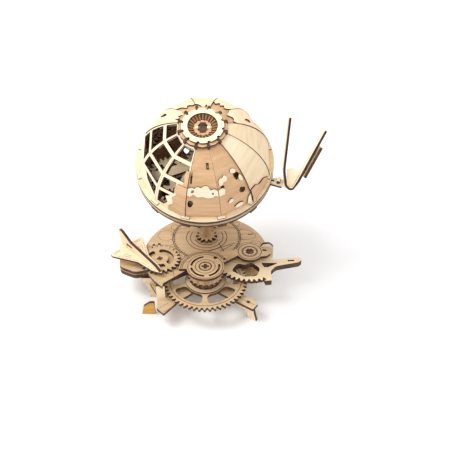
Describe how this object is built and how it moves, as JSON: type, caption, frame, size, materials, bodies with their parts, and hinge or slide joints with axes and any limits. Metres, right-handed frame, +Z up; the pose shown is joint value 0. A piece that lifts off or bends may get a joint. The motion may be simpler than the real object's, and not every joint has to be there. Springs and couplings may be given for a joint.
{
  "type": "mechanical globe orrery",
  "caption": "Cut-plywood mechanical globe tilted on a low gear table: a push lever turns a gear train, the globe and an orbiting craft; a small shuttle is parked at one side.",
  "frame": {"origin": "on the ground, under the middle of the assembly's bounding box", "axes": "+Z up, -Y the front with the large gear, +X the side of the push lever and the orbiting craft"},
  "size_m": [0.2068, 0.1558, 0.1941],
  "materials": {
    "birch_ply": "raw laser-cut plywood, dark burnt edges",
    "birch_skin": "thin bent plywood, warm tan",
    "scorched_ply": "laser-burnt edge",
    "birch_rod": "turned wooden rod",
    "amber_ply": "plywood in warm reflected light"
  },
  "bodies": {
    "base": {"lower_plate": "birch_ply", "top_plate": "birch_ply", "overlay_plate": "birch_ply", "leg_front_left": "birch_ply", "leg_front_right": "birch_ply", "leg_rear_left": "birch_ply", "leg_rear_right": "birch_ply", "foot_pad": "amber_ply", "left_wall": "birch_ply", "lock_hook": "birch_ply", "dock_pad": "birch_ply", "dock_stand": "birch_ply", "pedestal_left": "birch_ply", "pedestal_right": "birch_ply", "axle_block": "birch_ply", "globe_axle": "birch_rod", "sun_gear": "birch_ply", "lever_axle": "birch_rod"},
    "lever": {"lever_lower": "birch_ply", "lever_upper": "birch_ply"},
    "drive": {"drive_pinion": "birch_ply"},
    "main": {"main_gear": "birch_ply", "gear_collars": "birch_ply", "drum": "scorched_ply", "spool_disc": "birch_ply", "front_axle": "birch_rod"},
    "spindle": {"spindle_gear": "birch_ply", "spindle_shaft": "birch_rod", "spindle_collar": "birch_ply", "crown_pinion": "birch_ply"},
    "crescent": {"crescent_gear": "birch_ply", "crescent_shaft": "birch_ply"},
    "globe": {"south_gear": "birch_ply", "south_hub": "birch_ply", "south_skin": "birch_skin", "south_ribs": "birch_ply", "north_ribs": "birch_ply", "north_ring": "birch_ply", "south_ring": "birch_ply", "polar_ring": "scorched_ply", "polar_cup": "scorched_ply", "lattice_panel": "birch_ply", "gore_01": "birch_skin", "gore_02": "birch_skin", "gore_03": "birch_skin", "gore_04": "birch_skin", "gore_05": "birch_skin", "gore_06": "birch_skin", "gore_07": "birch_skin", "gore_08": "birch_skin", "gore_09": "birch_skin"},
    "orbit": {"orbit_ring": "birch_ply", "craft_bracket": "birch_ply"},
    "craft": {"craft_wings": "birch_ply", "craft_panel": "birch_ply"},
    "shuttle": {"shuttle_wing": "birch_ply", "shuttle_keel": "birch_ply"},
    "planet_a": {"planet_gear_1": "birch_ply"},
    "planet_b": {"planet_gear_2": "birch_ply"},
    "planet_c": {"planet_gear_3": "birch_ply"}
  },
  "joints": [
    {"name": "lever_swing", "type": "hinge", "parent": "base", "child": "lever", "pos_m": [0.03553, -0.01057, 0.03], "axis": [0, 0, 1], "range_deg": [-68, 0]},
    {"name": "drive_spin", "type": "hinge", "parent": "base", "child": "drive", "pos_m": [-0.00859, -0.03656, 0.033], "axis": [0, 0, 1], "range_deg": [-5, 155]},
    {"name": "main_spin", "type": "hinge", "parent": "base", "child": "main", "pos_m": [-0.00859, -0.03656, 0.025], "axis": [0, 0, 1], "continuous": true},
    {"name": "spindle_spin", "type": "hinge", "parent": "base", "child": "spindle", "pos_m": [-0.00859, 0.01544, 0.025], "axis": [0, 0, 1], "continuous": true},
    {"name": "crescent_spin", "type": "hinge", "parent": "base", "child": "crescent", "pos_m": [-0.05424, -0.02173, 0.04], "axis": [0, 0, 1], "continuous": true},
    {"name": "globe_spin", "type": "hinge", "parent": "base", "child": "globe", "pos_m": [-0.00859, 0.01544, 0.13], "axis": [0, -0.3987, 0.9171], "continuous": true},
    {"name": "orbit_spin", "type": "hinge", "parent": "globe", "child": "orbit", "pos_m": [-0.00859, 0.01544, 0.13], "axis": [0, -0.3987, 0.9171], "continuous": true},
    {"name": "planet_a_spin", "type": "hinge", "parent": "globe", "child": "planet_a", "pos_m": [-0.04241, 0.00415, 0.12509], "axis": [0, -0.3987, 0.9171], "continuous": true},
    {"name": "planet_b_spin", "type": "hinge", "parent": "globe", "child": "planet_b", "pos_m": [0.01899, -0.00578, 0.12077], "axis": [0, -0.3987, 0.9171], "continuous": true},
    {"name": "planet_c_spin", "type": "hinge", "parent": "globe", "child": "planet_c", "pos_m": [-0.00233, 0.04795, 0.14414], "axis": [0, -0.3987, 0.9171], "continuous": true},
    {"name": "craft_lift", "type": "slide", "parent": "orbit", "child": "craft", "axis": [0, -0.3987, 0.9171], "range_m": [0, 0.02]},
    {"name": "shuttle_lift", "type": "slide", "parent": "base", "child": "shuttle", "axis": [0, 0, 1], "range_m": [0, 0.04]}
  ],
  "couplings": [
    {"joint": "drive_spin", "follows": "lever_swing", "ratio": -2.2},
    {"joint": "spindle_spin", "follows": "main_spin", "ratio": -3.3333},
    {"joint": "crescent_spin", "follows": "main_spin", "ratio": -5},
    {"joint": "globe_spin", "follows": "main_spin", "ratio": 1.7391},
    {"joint": "orbit_spin", "follows": "main_spin", "ratio": 0.57971},
    {"joint": "planet_a_spin", "follows": "main_spin", "ratio": 1.7391},
    {"joint": "planet_b_spin", "follows": "main_spin", "ratio": 1.7391},
    {"joint": "planet_c_spin", "follows": "main_spin", "ratio": 1.7391}
  ]
}
